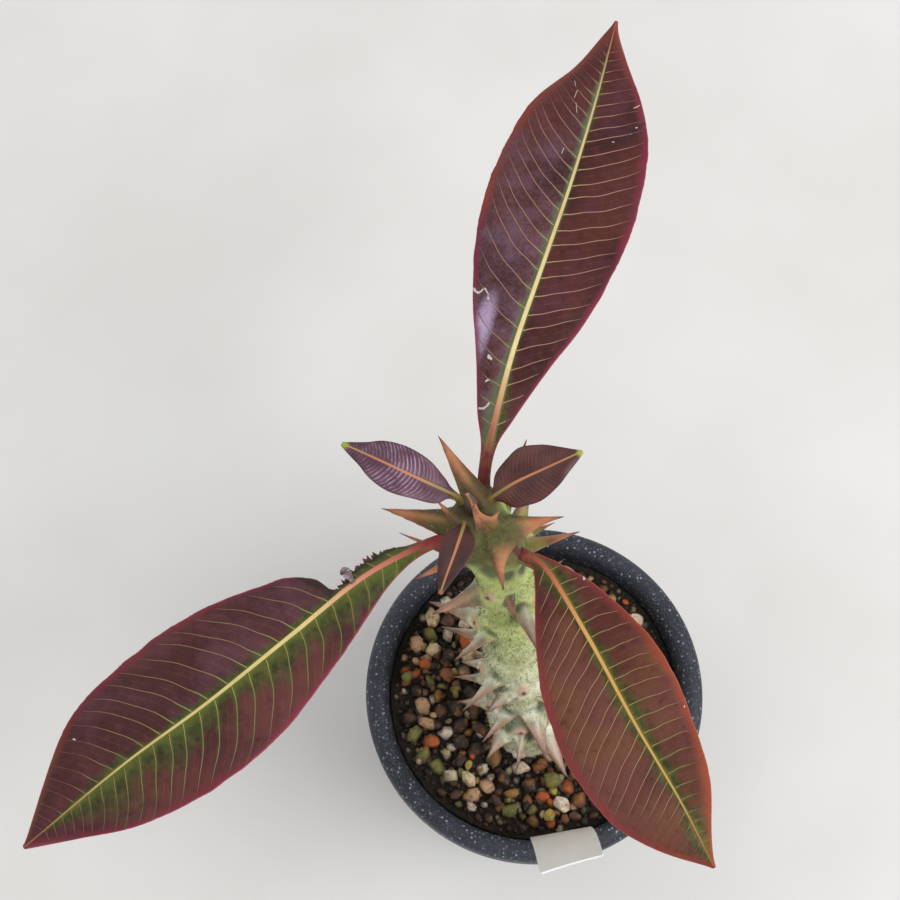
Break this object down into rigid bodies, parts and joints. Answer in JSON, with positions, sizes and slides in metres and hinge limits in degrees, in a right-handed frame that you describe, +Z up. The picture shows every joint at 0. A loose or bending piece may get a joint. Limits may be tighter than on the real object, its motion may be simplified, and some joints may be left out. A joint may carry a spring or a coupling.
{
  "type": "potted pachypodium",
  "caption": "Young thorny succulent with a leaning stem and long red-veined leaves, growing in gravel-topped soil in a round nursery pot with a plant label.",
  "frame": {"origin": "middle of the pot's flat underside, on the surface that the pot stands on", "axes": "+Z up along the pot's middle line, +Y the way the tallest leaf and the stem lean, +X to the right seen from the side of the label"},
  "size_m": [0.1668, 0.2159, 0.1583],
  "materials": {
    "pot_plastic": "satin",
    "potting_mix": "matte",
    "stem_skin": "satin",
    "grown_leaf": "satin",
    "young_leaf": "satin",
    "label_plastic": "satin"
  },
  "bodies": {
    "root": {"pot": "pot_plastic", "soil": "potting_mix", "trunk": "stem_skin", "leaf_back": "grown_leaf", "leaf_left": "grown_leaf", "leaf_right": "grown_leaf", "young_leaf_left": "young_leaf", "young_leaf_right": "young_leaf", "young_leaf_front": "young_leaf", "bud": "young_leaf", "label": "label_plastic"}
  },
  "joints": []
}
